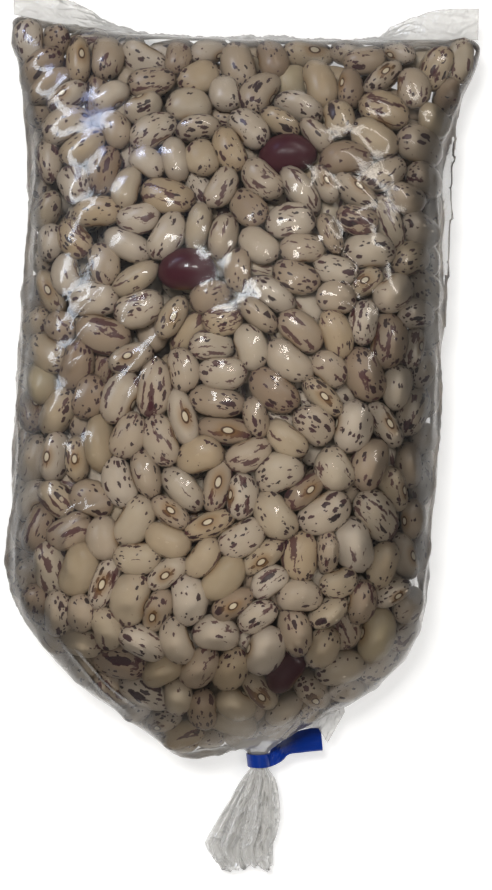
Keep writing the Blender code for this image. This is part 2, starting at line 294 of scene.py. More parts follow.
def ball_of_quads(cuts):
    """A rounded cube of quads with radius one: its points and faces."""
    bpy.ops.object.select_all(action="DESELECT")
    bpy.ops.mesh.primitive_cube_add(size=2)
    ball = bpy.context.object
    bpy.ops.object.mode_set(mode="EDIT")
    bpy.ops.mesh.select_all(action="SELECT")
    bpy.ops.mesh.subdivide(number_cuts=cuts)
    bpy.ops.object.mode_set(mode="OBJECT")
    rounding = ball.modifiers.new("rounding", "CAST")
    rounding.factor = 1.0
    bpy.ops.object.modifier_apply(modifier="rounding")
    points = unit(np.array([v.co for v in ball.data.vertices]))
    faces = np.array([p.vertices for p in ball.data.polygons])
    bpy.data.objects.remove(ball)
    return points, faces


def bean_shapes(points, count):
    """The points of so many beans, each a little different, in its own length, width and thickness."""
    x, y, z = (points[None, :, axis] for axis in range(3))
    slender, flat, bend, taper = (chance.normal(0, spread, (count, 1)) for spread in SHAPE_SPREADS)
    length = BEAN_LENGTH / 2 * (1 + slender) * np.sign(x) * np.abs(x) ** 0.93
    fuller = 1 + taper * x
    width = BEAN_WIDTH / 2 * (1 - slender / 2) * y * fuller * (1 + 0.05 * (1 - x**2))
    thickness = BEAN_THICKNESS / 2 * (1 + flat) * z * fuller
    curve = BEAN_BEND * (1 + bend) * (0.45 - x**2)
    from_scar = x * BEAN_LENGTH / 2 / (1.3 * SCAR_HALF_LENGTH)
    dent = SCAR_DENT * np.exp(-(from_scar**2)) * np.clip(-y, 0, 1) ** 2
    return np.stack([length, width + curve + dent, thickness], axis=-1)


def heap_of_beans(name, chosen, cuts):
    """One mesh of the chosen beans, which keeps each point's place on its bean and each bean's chances."""
    points, faces = ball_of_quads(cuts)
    shapes = bean_shapes(points, len(chosen)) * bean_sizes[chosen][:, None, None]
    placed = np.einsum("nij,nvj->nvi", bean_turns[chosen], shapes) + bean_middles[chosen][:, None, :]
    placed[..., 2] = np.maximum(placed[..., 2], LOWEST_BEAN)
    starts = (np.arange(len(chosen)) * len(points))[:, None, None]
    mesh = bpy.data.meshes.new(name)
    mesh.from_pydata(placed.reshape(-1, 3).tolist(), [], (faces[None] + starts).reshape(-1, 4).tolist())
    mesh.shade_smooth()
    half_bean = np.array((BEAN_LENGTH, BEAN_WIDTH, BEAN_THICKNESS)) / 2
    on_bean = np.broadcast_to(points * half_bean, shapes.shape) / MM
    lots = np.repeat(chance.uniform(0, 1, (len(chosen), 1, 3)), len(points), axis=1)
    for label, values in (("place_on_bean", on_bean), ("bean_lot", lots)):
        layer = mesh.attributes.new(label, "FLOAT_VECTOR", "POINT")
        layer.data.foreach_set("vector", np.ascontiguousarray(values, dtype=np.float32).ravel())
    heap = bpy.data.objects.new(name, mesh)
    bpy.context.scene.collection.objects.link(heap)
    return heap


def seed_coat(name, shades, stain_hex, streak_hex, flecked=True, roughness=0.33):
    """Seed coat of one kind of bean: a silky skin, whose flecks and streaks run with the bean's length."""
    material, tree, surface = new_material(name)
    place = add(tree, "ShaderNodeAttribute", {"attribute_name": "place_on_bean"}).outputs["Vector"]
    lot = add(tree, "ShaderNodeAttribute", {"attribute_name": "bean_lot"}).outputs["Vector"]
    lots = add(tree, "ShaderNodeSeparateXYZ", _0=lot)
    where = add(tree, "ShaderNodeSeparateXYZ", _0=place)
    own = add(tree, "ShaderNodeVectorMath", {"operation": "MULTIPLY_ADD"}, _0=lot, _1=LOT_SHIFT, _2=place)

    def maths(operation, a, b=0.0, c=0.0):
        return add(tree, "ShaderNodeMath", {"operation": operation}, _0=a, _1=b, _2=c).outputs[0]

    def between(value, low, high):
        even = {"interpolation_type": "SMOOTHSTEP"}
        return add(tree, "ShaderNodeMapRange", even, _0=value, _1=low, _2=high).outputs[0]

    def blend(share, below, above):
        return add(tree, "ShaderNodeMix", {"data_type": "RGBA"}, _0=share, _6=below, _7=above).outputs[2]

    # Ground: greyer or yellower from bean to bean, with faint cloudy mottling and pinker ends.
    ground = add(tree, "ShaderNodeValToRGB", _0=lots.outputs[0])
    ramp = ground.color_ramp
    ramp.elements[0].color, ramp.elements[1].color = linear(shades[0]), linear(shades[-1])
    for k, shade in enumerate(shades[1:-1], 1):
        ramp.elements.new(k / (len(shades) - 1)).color = linear(shade)
    cloud = add(tree, "ShaderNodeTexNoise", Vector=own.outputs[0], Scale=0.22, Detail=3.0)
    skin = blend(maths("MULTIPLY", cloud.outputs[0], 0.4), ground.outputs[0], linear(stain_hex))
    ends = between(maths("ABSOLUTE", where.outputs[0]), 3.0, 7.6)
    skin = blend(maths("MULTIPLY", ends, 0.14), skin, linear(streak_hex))

    wobble = add(tree, "ShaderNodeTexNoise", Vector=own.outputs[0], Scale=0.9, Detail=2.0)
    bent = add(tree, "ShaderNodeVectorMath", {"operation": "MULTIPLY_ADD"},
               _0=wobble.outputs["Color"], _1=(1.5, 0.9, 0.9), _2=own.outputs[0])
    if flecked:
        # Flecks: small dark dashes, more of them towards both ends and on some beans.
        patch = add(tree, "ShaderNodeTexNoise", Vector=own.outputs[0], Scale=0.16, Detail=1.0)
        crowd = maths("MULTIPLY_ADD", ends, 0.3, maths("MULTIPLY_ADD", lots.outputs[1], 0.55, -0.24))
        crowd = maths("ADD", crowd, maths("MULTIPLY_ADD", patch.outputs[0], 1.5, -0.62))
        for size_mm, spread, limit in FLECKS:
            stretched = add(tree, "ShaderNodeMapping", Vector=bent.outputs[0], Scale=spread)
            cell = add(tree, "ShaderNodeTexVoronoi", Vector=stretched.outputs[0], Scale=1 / size_mm)
            odds = add(tree, "ShaderNodeSeparateColor", _0=cell.outputs["Color"])
            room_for = maths("LESS_THAN", odds.outputs[0], crowd)
            radius = maths("MULTIPLY_ADD", odds.outputs[1], 0.3, limit - 0.22)
            edge = between(maths("SUBTRACT", radius, cell.outputs["Distance"]), 0.0, 0.05)
            fleck = blend(odds.outputs[2], linear("#2B1E26"), linear("#4A2A34"))
            skin = blend(maths("MULTIPLY", maths("MULTIPLY", room_for, edge), 0.93), skin, fleck)

    # Streaks: long blotches along the back of some beans.
    long_way = add(tree, "ShaderNodeMapping", Vector=bent.outputs[0], Scale=(0.16, 0.62, 0.62))
    streaks = add(tree, "ShaderNodeTexNoise",
                  Vector=long_way.outputs[0], Scale=0.75, Detail=2.5, Distortion=0.5)
    share = maths("ADD", streaks.outputs[0], maths("MULTIPLY_ADD", lots.outputs[2], 0.26, -0.2))
    streak = maths("MULTIPLY", between(share, 0.60, 0.63), 0.85 if flecked else 0.3)
    skin = blend(streak, skin, linear(streak_hex))

    # Scar: an ivory oval with a brown rim, in a stain on the bean's inner edge.
    across = maths("POWER", maths("DIVIDE", where.outputs[0], 1.35), 2.0)
    over = maths("POWER", maths("DIVIDE", where.outputs[2], 0.8), 2.0)
    away = maths("SQRT", maths("ADD", across, over))
    inner_edge = maths("LESS_THAN", where.outputs[1], 0.0)
    for reach, soft_from, share, shade in SCAR_RINGS:
        inside = maths("SUBTRACT", 1.0, between(away, soft_from * reach, reach))
        ring = maths("MULTIPLY", inside, inner_edge)
        skin = blend(maths("MULTIPLY", ring, share), skin, linear(shade))

    grain = add(tree, "ShaderNodeTexNoise", Vector=own.outputs[0], Scale=2.6, Detail=3.0)
    relief = add(tree, "ShaderNodeBump", Strength=0.06, Distance=0.12 * MM, Height=grain.outputs[0])
    coat = add(tree, "ShaderNodeBsdfPrincipled", Base_Color=skin, Normal=relief.outputs[0])
    coat.inputs["Roughness"].default_value = roughness
    tree.links.new(coat.outputs[0], surface)
    return material


SPECKLED = ("#96826F", "#B0A08D", "#C0B3A2", "#C8BDAF", "#BDB09C", "#B8A58A")
PLAIN = ("#AA9779", "#B8AB97", "#B0A089", "#BFB298")
DARK_RED = ("#47202B", "#552833")

near_film = np.nonzero(bean_depths < SHOWN_DEPTH)[0]
red = np.arange(DARK_RED_COUNT)
others = np.setdiff1d(near_film, red)
without_flecks = chance.random(len(others)) < PLAIN_SHARE
speckled_coat = seed_coat("speckled bean seed coat", SPECKLED, "#98856F", "#4F2730")
plain_coat = seed_coat("plain bean seed coat", PLAIN, "#8C7857", "#8A6A4C", flecked=False)
dark_red_coat = seed_coat(
    "dark red bean seed coat", DARK_RED, "#3A1720", "#2E1219", flecked=False, roughness=0.3
)
shown_heaps = []
for name, chosen, cuts, coat in (
    ("speckled_beans", others[~without_flecks], 3, speckled_coat),
    ("plain_beans", others[without_flecks], 3, plain_coat),
    ("dark_red_beans", red, 7, dark_red_coat),
    ("core_beans", np.setdiff1d(np.nonzero(bean_depths >= SHOWN_DEPTH)[0], red), 2, speckled_coat),
):
    heap = heap_of_beans(name, chosen, cuts)
    heap.data.materials.append(coat)
    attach(heap, "root")
    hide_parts("filled_bag")
    if name != "core_beans":
        shown_heaps.append(heap)

# ---------------------------------------------------------------------------------------------------
# The film round the beans
# Clear blown film, 0.05 mm thick, a lay-flat tube. It is drawn tight over the beans and dips a little
# between them, with sharp creases where it was folded and pleats where it is gathered into the neck.

FILM_GRAIN = 1.3 * MM  # size of the film mesh's faces
FILM_PULL = 0.008 * MM  # how hard each pass draws the film in between two beans
FILM_PASSES = 280
FILM_CLEARANCE = 0.10 * MM
FILM_REACH, FILM_SIDE_REACH = 4.0 * MM, 0.3 * MM  # how far the film is drawn in on top, and at the sides
WRAP_MIDDLE_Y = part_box("closing_tape")[0].y + 2.2 * MM
NECK_X = 3.8 * MM
WELD_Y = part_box("filled_bag")[1].y - 20.4 * MM  # the weld's line, away from its left corner
WELD_CLIMB, WELD_CLIMB_POWER = 8.5 * MM, 4.4
FLAT_HALF_WIDTH = 75.0 * MM
FIN_START = 2.9 * MM  # where the film past the weld is down to its own thickness
# Creases in the top: half width in mm, then the places they run through, x and y in mm.
CREASES = (
    (0.8, (-42.0, 42.6), (-51.9, 30.6)), (0.7, (-46.8, 30.6), (-54.0, 21.3)),
    (0.8, (-31.8, 41.1), (-36.9, 30.9)), (1.5, (-23.4, 31.2), (-38.4, 12.9)),
    (1.0, (-27.6, 20.4), (-37.2, 5.4)), (0.7, (-57.6, 33.6), (-54.3, 39.3)),
    (0.7, (-53.4, 17.4), (-48.9, 22.2)), (0.7, (-55.2, 54.9), (-51.6, 56.7)),
    (1.5, (-34.2, -24.3), (-41.1, -21.9), (-47.7, -24.0), (-52.5, -26.7), (-54.3, -33.3), (-53.4, -42.9)),
    (0.7, (12.6, -64.2), (16.5, -70.6)), (0.8, (14.7, -63.9), (23.1, -73.9)),
    (0.8, (25.5, 54.9), (32.1, 48.3)), (0.8, (27.6, 43.5), (32.7, 39.6)),
    (0.7, (32.7, 43.5), (37.8, 41.1)), (0.7, (27.9, 37.8), (32.7, 34.5)),
    (0.9, (-56.1, -64.8), (-46.0, -77.5), (-35.1, -88.9)),
    (0.8, (-51.5, -66.4), (-42.5, -77.5), (-32.6, -85.9)),
)
CREASE_FLANK = 2.1  # width of a flank over half width
CREASE_POINT_STEP = 0.3 * MM
FINE_REACHES = (3.2 * MM, 1.7 * MM)  # faces this near a crease are split, once for each reach
NECK_PLEAT_HEIGHT = 0.9 * MM


def weld_at(x):
    """The weld's place along the bag, which climbs towards its left corner."""
    return WELD_Y + WELD_CLIMB * ((1 - np.clip(x / FLAT_HALF_WIDTH, -1, 1)) / 2) ** WELD_CLIMB_POWER


def even_skin(name, keep, grain):
    """The part of the bag's surface that keep() chooses, closed off, as an even mesh of small faces."""
    shell = welded_copy("filled_bag")
    gone = [v for v in shell.verts if not keep(v.co)]
    bmesh.ops.delete(shell, geom=gone, context="VERTS")
    bmesh.ops.holes_fill(shell, edges=[e for e in shell.edges if e.is_boundary])
    bmesh.ops.triangulate(shell, faces=[f for f in shell.faces if len(f.verts) > 4])
    bmesh.ops.recalc_face_normals(shell, faces=shell.faces)
    mesh = bpy.data.meshes.new(name)
    shell.to_mesh(mesh)
    shell.free()
    skin = bpy.data.objects.new(name, mesh)
    bpy.context.scene.collection.objects.link(skin)
    bpy.ops.object.select_all(action="DESELECT")
    bpy.context.view_layer.objects.active = skin
    skin.select_set(True)
    remesh = skin.modifiers.new("even faces", "REMESH")
    remesh.mode = "VOXEL"
    remesh.voxel_size = grain
    bpy.ops.object.modifier_apply(modifier="even faces")
    return skin


class Surface:
    """A mesh's points, normals and neighbours as arrays, to shape it as a stretched film."""

    def __init__(self, mesh):
        self.mesh = mesh
        count = len(mesh.vertices)
        self.points = np.empty(count * 3)
        mesh.vertices.foreach_get("co", self.points)
        self.points = self.points.reshape(-1, 3)
        ends = np.empty(len(mesh.edges) * 2, dtype=int)
        mesh.edges.foreach_get("vertices", ends)
        self.ends = ends.reshape(-1, 2)
        self.valence = np.bincount(ends, minlength=count)
        normals = np.empty(count * 3, dtype=np.float32)
        mesh.vertex_normals.foreach_get("vector", normals)
        self.normals = unit(normals.reshape(-1, 3).astype(float))

    def mean_of_neighbours(self, values):
        one, other = self.ends.T
        total = np.bincount(one, values[other], len(values)) + np.bincount(other, values[one], len(values))
        return total / self.valence

    def smooth(self, values, passes):
        for _ in range(passes):
            values = np.stack([self.mean_of_neighbours(column) for column in values.T], axis=-1)
        return values

    def write(self):
        self.mesh.vertices.foreach_set("co", self.points.ravel())
        self.mesh.update()


def tree_of(heaps):
    """The surfaces of several heaps of beans as one tree to cast rays at."""
    corners, faces = [], []
    for heap in heaps:
        start = len(corners)
        corners += [v.co.copy() for v in heap.data.vertices]
        faces += [[start + k for k in p.vertices] for p in heap.data.polygons]
    return BVHTree.FromPolygons(corners, faces)


def rest_on_beans(mesh):
    """Draws the film in until it touches the beans, with level bridges from one bean to the next."""
    sheet = Surface(mesh)
    sheet.points = sheet.smooth(sheet.points, 2)
    sheet.normals = unit(sheet.smooth(sheet.normals, 3))
    ahead = np.full(len(sheet.points), FILM_REACH)
    for k, (point, normal) in enumerate(zip(sheet.points, sheet.normals)):
        out = Vector(normal)
        hit = beans_tree.ray_cast(Vector(point) + out * 2 * MM, -out, FILM_REACH + 2 * MM)
        if hit[0] is not None:
            ahead[k] = hit[3] - 2 * MM
    x, y, _ = sheet.points.T
    from_seam = np.minimum(weld_at(x) + FIN_START - y, 0.5 * (y - WRAP_MIDDLE_Y - 3 * MM))
    slumped = smooth_step((-15 * MM - y) / (30 * MM))
    at_side = FILM_SIDE_REACH + (3 * MM - FILM_SIDE_REACH) * slumped
    taut = at_side + (FILM_REACH - at_side) * smooth_step(np.abs(sheet.normals[:, 2]) / 0.7)
    limit = np.minimum(np.minimum(ahead, taut) - FILM_CLEARANCE, np.maximum(from_seam, 0))
    sunk = np.minimum(0.0, limit)
    for _ in range(FILM_PASSES):
        sunk = np.minimum(sheet.mean_of_neighbours(sunk) + FILM_PULL, limit)
    sheet.points = sheet.points - sheet.normals * sunk[:, None]
    sheet.write()


def crease_points():
    """A tree of points along every crease, with the width of its flanks and its share of full height."""
    places, sizes = [], []
    for half_width, *corners in CREASES:
        corners = np.array(corners) * MM
        travelled = np.append(0, np.cumsum(np.linalg.norm(np.diff(corners, axis=0), axis=1)))
        steps = np.linspace(0, travelled[-1], int(travelled[-1] / CREASE_POINT_STEP) + 2)
        line = np.stack([np.interp(steps, travelled, corners[:, axis]) for axis in range(2)], axis=-1)
        for _ in range(25 if len(corners) > 2 else 0):
            line[1:-1] = (line[:-2] + line[2:]) / 2
        fade = np.sin(np.pi * np.linspace(0.02, 0.98, len(line))) ** 0.6
        places += [(x, y, 0) for x, y in line]
        sizes += [(half_width * MM * CREASE_FLANK, f) for f in fade]
    tree = KDTree(len(places))
    for k, place in enumerate(places):
        tree.insert(place, k)
    tree.balance()
    return tree, sizes


def fold_creases(mesh):
    """Splits the faces along the creases, then lifts each to a ridge with flanks that steepen towards it."""
    tree, sizes = crease_points()
    fine = bmesh.new()
    fine.from_mesh(mesh)
    for reach in FINE_REACHES:
        near = {v for v in fine.verts if v.normal.z > 0.1 and tree.find((v.co.x, v.co.y, 0))[2] < reach}
        edges = [e for e in fine.edges if e.verts[0] in near and e.verts[1] in near]
        bmesh.ops.subdivide_edges(fine, edges=edges, cuts=1, use_grid_fill=True)
        fine.normal_update()
    bmesh.ops.triangulate(fine, faces=[f for f in fine.faces if len(f.verts) > 4])
    fine.normal_update()
    lifts = []
    for v in fine.verts:
        if v.normal.z > 0.1:
            _, k, gap = tree.find((v.co.x, v.co.y, 0))
            flank, share = sizes[k]
            if gap < flank:
                t = gap / flank
                lifts.append((v, v.normal * (flank * share * (0.375 - 0.5 * t + 0.125 * t * t))))
    for v, lift in lifts:
        v.co += lift
    fine.to_mesh(mesh)
    fine.free()


def pleat_the_neck(mesh):
    """Lifts pleats that run out from the neck like rays, longer on its right."""
    sheet = Surface(mesh)
    x, y, z = sheet.points.T
    away = np.hypot(x - NECK_X, y - WRAP_MIDDLE_Y)
    ray = np.arctan2(x - NECK_X, y - WRAP_MIDDLE_Y)
    wander = 0.05 * np.sin(away / (5 * MM) + 3 * ray)
    ridges = (1 - np.abs(np.sin(21 * (ray + wander)))) ** 2
    ridges += 0.6 * (1 - np.abs(np.sin(13.3 * ray + 1.1))) ** 2
    reach = (17 + 15 * smooth_step(ray / 1.2)) * MM
    height = NECK_PLEAT_HEIGHT * smooth_step((away - 5 * MM) / (8 * MM)) * np.exp(-((away / reach) ** 2))
    sheet.points = sheet.points + sheet.normals * (height * ridges)[:, None]
    sheet.write()


def crease_the_sides(mesh):
    """The flattened tube's empty edges: long pleats that run with the bag's two sides."""
    sheet = Surface(mesh)
    x, y, z = sheet.points.T
    steep = smooth_step((0.75 - np.abs(sheet.normals[:, 2])) / 0.4)
    in_reach = smooth_step((y + 75 * MM) / (30 * MM)) * smooth_step((112 * MM - y) / (20 * MM))
    wander = 1.1 * np.sin(y / (17 * MM) + x / (40 * MM)) + 0.7 * np.sin(y / (7.3 * MM))
    ridges = (1 - np.abs(np.sin(z / (2.3 * MM) + wander))) ** 2
    sheet.points = sheet.points + sheet.normals * (0.8 * MM * steep * in_reach * ridges)[:, None]
    sheet.write()


def layers_of(mesh, values):
    """Keeps how many layers of film lie on each other at each point, from 0 for one to 1 for many."""
    layer = mesh.attributes.new("film_layers", "FLOAT", "POINT")
    layer.data.foreach_set("value", np.broadcast_to(values, len(mesh.vertices)).astype(np.float32))


def in_film(place):
    """Whether a place on the bag is between the tape and the strip past the weld."""
    return WRAP_MIDDLE_Y - 1 * MM < place.y < weld_at(place.x) + FIN_START + 0.3 * MM


beans_tree = tree_of(shown_heaps)
film = even_skin("film", in_film, FILM_GRAIN)
rest_on_beans(film.data)
crease_the_sides(film.data)
fold_creases(film.data)
pleat_the_neck(film.data)
skin = Surface(film.data)
skin.points[:, 2] = np.maximum(skin.points[:, 2], 0.02 * MM)
skin.write()
from_neck = np.hypot(skin.points[:, 0] - NECK_X, skin.points[:, 1] - WRAP_MIDDLE_Y)
near_neck = np.exp(-((from_neck / (16 * MM)) ** 2))
near_sides = smooth_step((0.5 - np.abs(skin.normals[:, 2])) / 0.5)
slack_sides = near_sides * np.where(skin.points[:, 0] < 0, 0.22, 0.10)
layers_of(film.data, np.clip(0.75 * near_neck + slack_sides, 0, 1))
film.data.shade_smooth()


def clear_film():
    """Blown polyethylene film: it mirrors lamps sharply and veils what lies behind where steep or doubled."""
    material, tree, surface = new_material("clear blown film")
    place = add(tree, "ShaderNodeTexCoord").outputs["Object"]
    slack = add(tree, "ShaderNodeTexNoise", Vector=place, Scale=160.0, Detail=2.0, Distortion=1.5)
    relief = add(tree, "ShaderNodeBump", Strength=0.3, Distance=0.2 * MM, Height=slack.outputs[0])
    edge_on = add(tree, "ShaderNodeFresnel", IOR=1.5, Normal=relief.outputs[0])
    times = {"operation": "MULTIPLY", "use_clamp": True}
    share = add(tree, "ShaderNodeMath", times, _0=edge_on.outputs[0], _1=1.1)
    through = add(tree, "ShaderNodeBsdfTransparent", Color=(0.96, 0.96, 0.955, 1.0))
    gloss = add(tree, "ShaderNodeBsdfGlossy", Color=(1, 1, 1, 1), Roughness=0.09, Normal=relief.outputs[0])
    halo = add(tree, "ShaderNodeBsdfGlossy", Color=(1, 1, 1, 1), Roughness=0.3, Normal=relief.outputs[0])
    mirror = add(tree, "ShaderNodeMixShader", _0=0.3, _1=gloss.outputs[0], _2=halo.outputs[0])
    clear = add(tree, "ShaderNodeMixShader", _0=share.outputs[0], _1=through.outputs[0], _2=mirror.outputs[0])
    steep = add(tree, "ShaderNodeLayerWeight", Blend=0.5)
    haze = add(tree, "ShaderNodeMapRange", _0=steep.outputs["Facing"], _1=0.5, _2=1.0, _3=0.004, _4=0.10)
    layers = add(tree, "ShaderNodeAttribute", {"attribute_name": "film_layers"}).outputs["Fac"]
    times_plus = {"operation": "MULTIPLY_ADD", "use_clamp": True}
    more = add(tree, "ShaderNodeMath", times_plus, _0=layers, _1=0.42, _2=haze.outputs[0])
    # Veil colour: tan where the film is a single steep layer, a painted shade standing in for the shaded band
    # along the bag's sides, and a real milky white where layers of film lie doubled.
    whiter = add(tree, "ShaderNodeMath", times, _0=layers, _1=1.8)
    shaded_tan_to_white_veil = add(tree, "ShaderNodeMix", {"data_type": "RGBA"},
                _0=whiter.outputs[0], _6=linear("#B09A7A"), _7=linear("#F6F5F3"))
    veil = add(tree, "ShaderNodeBsdfDiffuse", Color=shaded_tan_to_white_veil.outputs[2])
    both = add(tree, "ShaderNodeMixShader", _0=more.outputs[0], _1=clear.outputs[0], _2=veil.outputs[0])
    tree.links.new(both.outputs[0], surface)
    return material


film_stuff = clear_film()


def finish_film(piece):
    """Material and place in the frame, the same for every piece of film."""
    piece.data.materials.append(film_stuff)
    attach(piece, "root")
    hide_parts("filled_bag")


finish_film(film)

# ---------------------------------------------------------------------------------------------------
# The fin
# Past the weld, both layers of the tube go on as a free strip about 10 mm wide. It is folded down behind
# the middle and springs out at both corners, ruffled where the weld shrank it.

FIN_STRIP = 9.6 * MM
FIN_HALF_WIDTH = 73.6 * MM
FIN_MIDDLE_SHARE = 0.6
FIN_ROOT_Z = 10.0 * MM
FIN_FOLDED, FIN_SPRUNG = math.radians(-78), math.radians(10)
FIN_SPRINGS_FROM, FIN_SPRUNG_BY = 0.46, 0.92
FIN_COLUMNS, FIN_ROWS = 340, 26
FIN_THICKNESS = 0.12 * MM


def thin_sheet(name, grid, thickness):
    """A sheet of film through a grid of points, given its thickness."""
    rows, columns = grid.shape[:2]
    at = np.arange(rows * columns).reshape(rows, columns)
    faces = np.stack([at[:-1, :-1], at[:-1, 1:], at[1:, 1:], at[1:, :-1]], axis=-1).reshape(-1, 4)
    mesh = bpy.data.meshes.new(name)
    mesh.from_pydata(grid.reshape(-1, 3).tolist(), [], faces.tolist())
    sheet = bpy.data.objects.new(name, mesh)
    bpy.context.scene.collection.objects.link(sheet)
    bpy.ops.object.select_all(action="DESELECT")
    bpy.context.view_layer.objects.active = sheet
    sheet.select_set(True)
    wall = sheet.modifiers.new("film thickness", "SOLIDIFY")
    wall.thickness, wall.offset = thickness, 0.0
    bpy.ops.object.modifier_apply(modifier="film thickness")
    sheet.data.shade_smooth()
    return sheet


def sharp_folds(points, size, width):
    """Thin crumple lines, 1 on a fold and 0 between folds, at any points."""
    values = np.array([noise.noise(Vector(p) / size) for p in points.reshape(-1, 3)])
    return np.exp(-((values / width) ** 2)).reshape(points.shape[:-1])


across, along = np.meshgrid(np.linspace(-1, 1, FIN_COLUMNS), np.linspace(0, 1, FIN_ROWS))
sprung = smooth_step((np.abs(across) - FIN_SPRINGS_FROM) / (FIN_SPRUNG_BY - FIN_SPRINGS_FROM))
fold = FIN_FOLDED + (FIN_SPRUNG - FIN_FOLDED) * sprung
strip = FIN_STRIP * (FIN_MIDDLE_SHARE + (1 - FIN_MIDDLE_SHARE) * sprung) * along
ruffle = 0.8 * np.sin(9 * across + 0.8) + 0.35 * np.sin(37 * across + 2.5 * along) + 0.2 * np.sin(83 * across)
x = FIN_HALF_WIDTH * across
flat_place = np.stack([x, strip, np.zeros_like(x)], axis=-1)
crumple = 0.5 * sharp_folds(flat_place * (0.6, 1.6, 1), 4.5 * MM, 0.07)
crumple += 0.35 * sharp_folds(flat_place, 2.6 * MM, 0.08)
rise = MM * (ruffle * along + crumple * smooth_step(along * 4))
y = weld_at(x) + FIN_START - 0.7 * MM + strip * np.cos(fold) - rise * np.sin(fold)
z = FIN_ROOT_Z + strip * np.sin(fold) + rise * np.cos(fold)
fin = thin_sheet("welded_fin", np.stack([x, y, z], axis=-1), FIN_THICKNESS)
layers_of(fin.data, 0.9)
finish_film(fin)

# ---------------------------------------------------------------------------------------------------
# The fold beside the neck
# Slack film that the tape did not catch: a flat doubled flap that hangs from the bag's end, next to the
# tape's flag and past its tip.

FOLD_TOP = np.array([(9.0, -93.8), (16.0, -90.5), (22.0, -88.0), (27.0, -86.6), (31.0, -86.4)]) * MM
FOLD_EDGE = np.array([(10.5, -94.7), (17.0, -94.6), (23.0, -94.6), (25.8, -99.4), (31.4, -89.6)]) * MM
FOLD_Z, FOLD_RIPPLE = 9.5 * MM, 0.5 * MM
FOLD_COLUMNS, FOLD_ROWS = 90, 40

share = np.linspace(0, len(FOLD_TOP) - 1, FOLD_COLUMNS)
top, edge = (
    np.stack([np.interp(share, range(len(line)), line[:, axis]) for axis in range(2)], axis=-1)
    for line in (FOLD_TOP, FOLD_EDGE)
)
down = np.linspace(0, 1, FOLD_ROWS)[:, None, None]
flap = top[None] + (edge - top)[None] * down
ripple = sharp_folds(np.concatenate([flap * (1.3, 0.7), 0 * flap[..., :1]], axis=-1), 2.8 * MM, 0.09)
flap = np.concatenate([flap, (FOLD_Z + FOLD_RIPPLE * ripple)[..., None]], axis=-1)
neck_fold = thin_sheet("neck_fold", flap, FIN_THICKNESS)
layers_of(neck_fold.data, 0.8)
finish_film(neck_fold)

# ---------------------------------------------------------------------------------------------------
# The tail
# Past the tape the gathered film fans out again. Its many layers and sharp lengthwise pleats look white.

TAIL_PLACES = np.array([0, 3, 6, 10, 15, 20, 25, 28, 31, 34, 37]) * MM  # past the middle of the tape
TAIL_X = np.array([3.8, 4.1, 4.0, 3.1, 2.0, 0.8, -0.9, -2.1, -1.6, -0.6, 0.2]) * MM
TAIL_Z = np.array([8.8, 8.1, 7.4, 6.6, 5.8, 5.0, 4.3, 3.9, 3.6, 3.4, 3.2]) * MM
TAIL_HALF_WIDTH = np.array([2.6, 2.9, 4.8, 6.2, 7.8, 9.2, 10.0, 10.1, 9.3, 8.3, 7.6]) * MM
TAIL_HALF_HEIGHT = np.array([2.2, 2.4, 2.8, 3.0, 3.2, 3.2, 3.1, 2.9, 2.6, 2.3, 2.0]) * MM
TAIL_ROWS, TAIL_ROUND = 84, 300


def zigzag(phase):
    """A wave with straight flanks and sharp turns, from -1 to 1."""
    return 2 / math.pi * np.arcsin(np.sin(phase))


def tail_wall(scale, shift, ends_at):
    """One layer of the gathered film, from the tape to its cut edge: a grid of points."""
    end = TAIL_PLACES[-1] * ends_at
    place = np.linspace(0, 1, TAIL_ROWS)[:, None] * (end + np.zeros((1, TAIL_ROUND)))
    angle = np.linspace(0, 2 * math.pi, TAIL_ROUND, endpoint=False)[None, :] + np.zeros((TAIL_ROWS, 1))
    uneven = 0.955 + 0.03 * np.sin(3 * angle + shift) + 0.016 * np.sin(11 * angle + 2 * shift)
    place = place * uneven
    x, z, width, height = (
        np.interp(place, TAIL_PLACES, values)
        for values in (TAIL_X, TAIL_Z, TAIL_HALF_WIDTH, TAIL_HALF_HEIGHT)
    )
    opened = smooth_step(place / (9 * MM))
    drift = place / (30 * MM)
    pleats = zigzag(9 * angle + 2.1 * drift + shift) + 0.6 * zigzag(23 * angle - 1.4 * drift + 2 * shift)
    depth = (0.08 + 0.22 * opened) * pleats
    x = x + scale * width * np.cos(angle) * (1 + 0.35 * depth)
    z = z + scale * height * np.sin(angle) * (1 + 1.5 * depth)
    grid = np.stack([x, WRAP_MIDDLE_Y - place, z], axis=-1)
    folds = sharp_folds(grid * (1.2, 0.45, 1.0) + shift, 2.6 * MM, 0.08) * opened
    crumple = sharp_folds(grid * (0.5, 0.3, 0.5) - shift, 2.2 * MM, 0.12) * opened
    grid[..., 2] += (0.7 * folds + 1.1 * crumple) * MM * np.sign(np.sin(angle))
    return grid


outer, inner = tail_wall(1.0, 0.4, 1.0), tail_wall(0.74, 1.9, 0.985)
rings = np.concatenate([outer, inner[::-1]])
rings[..., 2] = np.maximum(rings[..., 2], 0.1 * MM)
rings[..., 1] = np.maximum(rings[..., 1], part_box("filled_bag")[0].y)
count = len(rings)
at = np.arange(count * TAIL_ROUND).reshape(count, TAIL_ROUND)
after, beside, opposite = np.roll(at, -1, 0), np.roll(at, -1, 1), np.roll(np.roll(at, -1, 0), -1, 1)
tail_mesh = bpy.data.meshes.new("gathered_tail")
faces = np.stack([at, after, opposite, beside], axis=-1).reshape(-1, 4)
tail_mesh.from_pydata(rings.reshape(-1, 3).tolist(), [], faces.tolist())
tail = bpy.data.objects.new("gathered_tail", tail_mesh)
bpy.context.scene.collection.objects.link(tail)
tail_mesh.shade_smooth()
layers_of(tail_mesh, 0.85)
finish_film(tail)

# ---------------------------------------------------------------------------------------------------
# The tape
# Blue polypropylene tape, bunched and wrapped once round the neck, its two ends stuck together as a flag.


